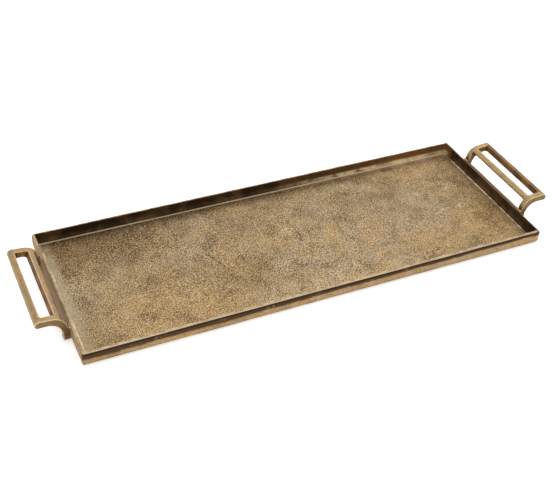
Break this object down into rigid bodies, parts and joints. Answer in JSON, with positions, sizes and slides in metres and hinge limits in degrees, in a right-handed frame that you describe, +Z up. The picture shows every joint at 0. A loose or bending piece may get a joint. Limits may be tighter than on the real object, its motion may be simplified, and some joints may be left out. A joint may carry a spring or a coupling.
{
  "type": "serving tray",
  "caption": "Long rectangular cast brass serving tray with a low wall and an arched open grip handle riveted to each short end.",
  "frame": {"origin": "centre of the footprint, on the surface that the tray stands on", "axes": "+X along the tray's length towards the right handle, -Y to the tray's front long side, +Z up out of the well"},
  "size_m": [0.687, 0.229, 0.0389],
  "materials": {
    "pan_brass": "cast, antique patina, dull satin with worn bright rims",
    "handle_brass": "cast, antique patina, satin with rubbed edges",
    "rivet_brass": "filed flush, patinated",
    "pad_felt": "pressed felt"
  },
  "bodies": {
    "root": {"tray_pan": "pan_brass", "left_handle": "handle_brass", "right_handle": "handle_brass", "left_front_rivet": "rivet_brass", "left_back_rivet": "rivet_brass", "right_front_rivet": "rivet_brass", "right_back_rivet": "rivet_brass", "left_front_pad": "pad_felt", "left_back_pad": "pad_felt", "right_front_pad": "pad_felt", "right_back_pad": "pad_felt"}
  },
  "joints": []
}
